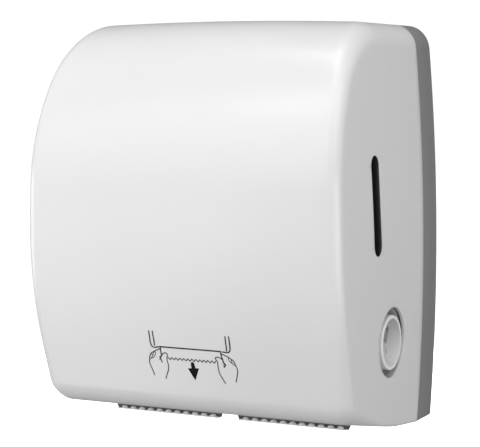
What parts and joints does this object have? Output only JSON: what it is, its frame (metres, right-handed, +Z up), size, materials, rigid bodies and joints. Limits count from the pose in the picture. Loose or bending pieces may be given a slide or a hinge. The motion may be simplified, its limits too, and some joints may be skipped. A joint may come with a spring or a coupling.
{
  "type": "automatic roll towel dispenser",
  "caption": "Wall-mounted roll towel dispenser: a bowed hinged cover over a roll holder and a drum that feeds and cuts each towel when pulled, with a feed wheel and a view window.",
  "frame": {"origin": "centre of the four wall-screw holes, on the wall plane", "axes": "+X to the viewer's right, +Y into the wall, +Z up; the front faces -Y"},
  "size_m": [0.31, 0.245, 0.3804],
  "materials": {
    "cover": "white moulding, soft gloss",
    "case": "mid-grey moulding, fine matte",
    "lens": "smoked clear plate",
    "chassis": "plain white moulding",
    "hub": "grey moulding",
    "steel": "bright steel",
    "lock": "plated",
    "bronze": "sintered bronze",
    "rubber": "ribbed rubber"
  },
  "bodies": {
    "rear_case": {"rear_case": "case", "cheek_left": "chassis", "cheek_right": "chassis", "bush_left": "bronze", "bush_right": "bronze", "one_way_clutch": "steel", "roller_axle": "steel", "tie_rods": "steel", "rear_guide": "chassis", "front_guide": "chassis", "drive_housing": "chassis", "drive_spring": "steel", "roll_arm_left": "chassis", "arm_pin": "steel", "hinge_pins": "steel", "fixing_screws": "steel"},
    "cover": {"front_cover": "cover", "window_lens": "lens", "wheel_cup": "hub", "exit_comb_left": "cover", "exit_comb_right": "cover", "hinge_arm_left": "chassis", "hinge_arm_right": "chassis", "lock_housing": "lock"},
    "lock": {"lock_barrel": "lock", "lock_cam": "steel", "lock_nut": "steel"},
    "feed_wheel": {"feed_wheel": "cover", "wheel_clip": "hub"},
    "drum": {"drum_shell_front": "chassis", "drum_shell_rear": "chassis", "drum_cap_left": "chassis", "drum_cap_right": "chassis", "drum_shaft": "steel", "grip_bands": "rubber", "crank_disc": "chassis"},
    "blade": {"blade_carrier": "chassis", "cutter_blade": "steel"},
    "pinch_roller": {"roller_core": "chassis", "roller_tyres": "rubber"},
    "swing_arm": {"roll_arm_right": "chassis"},
    "hub_left": {"roll_hub_left": "hub"},
    "hub_right": {"roll_hub_right": "hub"}
  },
  "joints": [
    {"name": "cover_open", "type": "hinge", "parent": "rear_case", "child": "cover", "pos_m": [0, -0.018, -0.1845], "axis": [1, 0, 0], "range_deg": [0, 90]},
    {"name": "lock_turn", "type": "hinge", "parent": "cover", "child": "lock", "pos_m": [0, -0.062, 0.18], "axis": [0, 0, 1], "range_deg": [0, 90]},
    {"name": "drum_spin", "type": "hinge", "parent": "rear_case", "child": "drum", "pos_m": [0, -0.1165, -0.1015], "axis": [1, 0, 0], "continuous": true, "deforming": ["drive_spring"]},
    {"name": "blade_slide", "type": "slide", "parent": "drum", "child": "blade", "axis": [0, -0.9397, -0.342], "range_m": [0, 0.008]},
    {"name": "wheel_turn", "type": "hinge", "parent": "cover", "child": "feed_wheel", "pos_m": [0.145, -0.1165, -0.1015], "axis": [1, 0, 0], "continuous": true},
    {"name": "roller_spin", "type": "hinge", "parent": "rear_case", "child": "pinch_roller", "pos_m": [0, -0.08336, -0.06201], "axis": [1, 0, 0], "continuous": true},
    {"name": "arm_swing", "type": "hinge", "parent": "rear_case", "child": "swing_arm", "pos_m": [0.113, -0.014, 0.055], "axis": [0, 0, 1], "range_deg": [0, 12], "stiffness_Nm_per_rad": 3, "springref_deg": -4.58},
    {"name": "hub_left_spin", "type": "hinge", "parent": "rear_case", "child": "hub_left", "pos_m": [-0.105, -0.122, 0.055], "axis": [1, 0, 0], "continuous": true},
    {"name": "hub_right_spin", "type": "hinge", "parent": "swing_arm", "child": "hub_right", "pos_m": [0.105, -0.122, 0.055], "axis": [1, 0, 0], "continuous": true}
  ],
  "couplings": [
    {"joint": "wheel_turn", "follows": "drum_spin", "ratio": 1},
    {"joint": "roller_spin", "follows": "drum_spin", "ratio": -3.6591}
  ]
}
